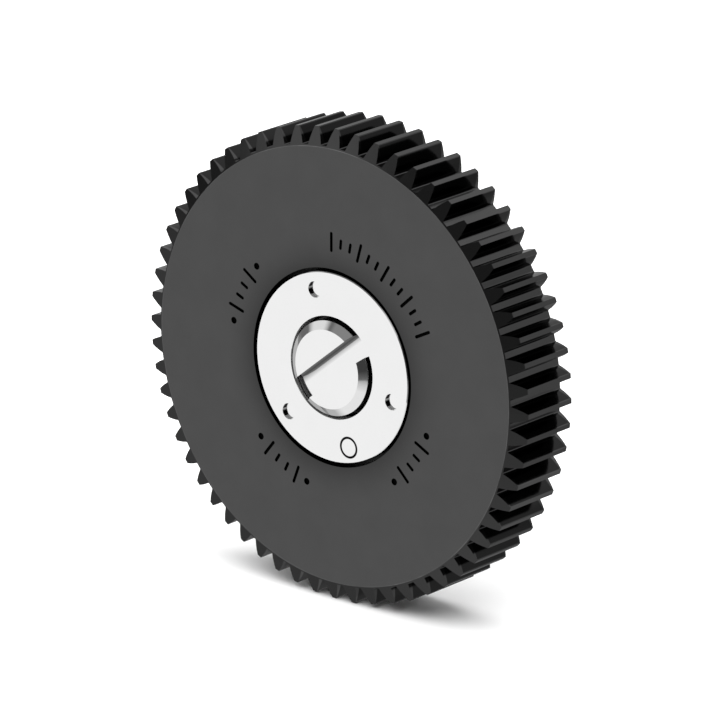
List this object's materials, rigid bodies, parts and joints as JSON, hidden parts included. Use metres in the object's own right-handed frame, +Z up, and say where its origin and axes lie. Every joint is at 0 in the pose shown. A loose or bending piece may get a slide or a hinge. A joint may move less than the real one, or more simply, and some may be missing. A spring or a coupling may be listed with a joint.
{
  "type": "spur gear on flanged hub with captive screw",
  "caption": "Black fine-pitch spur gear clamped to a steel flanged hub, with a drive pin and a spring-loaded captive centre screw with a coin slot.",
  "frame": {"origin": "on the gear's axis, at the middle of the tooth width", "axes": "+Y along the gear's axis from the front, with the slotted screw head, to the back, which seats on the driving unit; +Z up"},
  "size_m": [0.0496, 0.0178, 0.0496],
  "materials": {
    "black_anodised": "machined aluminium, black hard-anodised, satin",
    "polished_steel": "fine turned and polished stainless steel",
    "turned_steel": "turned stainless steel",
    "screw_steel": "stainless socket screws",
    "pin_steel": "ground and hardened steel",
    "spring_steel": "drawn spring steel"
  },
  "bodies": {
    "wheel_assembly": {"gear_wheel": "black_anodised", "hub": "polished_steel", "clamp_ring": "turned_steel", "clamp_screw_1": "screw_steel", "clamp_screw_2": "screw_steel", "clamp_screw_3": "screw_steel", "drive_pin": "pin_steel", "thrust_washer": "turned_steel", "screw_spring": "spring_steel"},
    "screw_carrier": {"retaining_ring": "spring_steel"},
    "centre_screw": {"captive_screw": "polished_steel"}
  },
  "joints": [
    {"name": "screw_travel", "type": "slide", "parent": "wheel_assembly", "child": "screw_carrier", "axis": [0, 1, 0], "range_m": [0, 0.00095], "stiffness_N_per_m": 170, "springref_m": -0.001, "deforming": ["screw_spring"]},
    {"name": "screw_turn", "type": "hinge", "parent": "screw_carrier", "child": "centre_screw", "pos_m": [0, 0, 0], "axis": [0, 1, 0], "continuous": true}
  ]
}
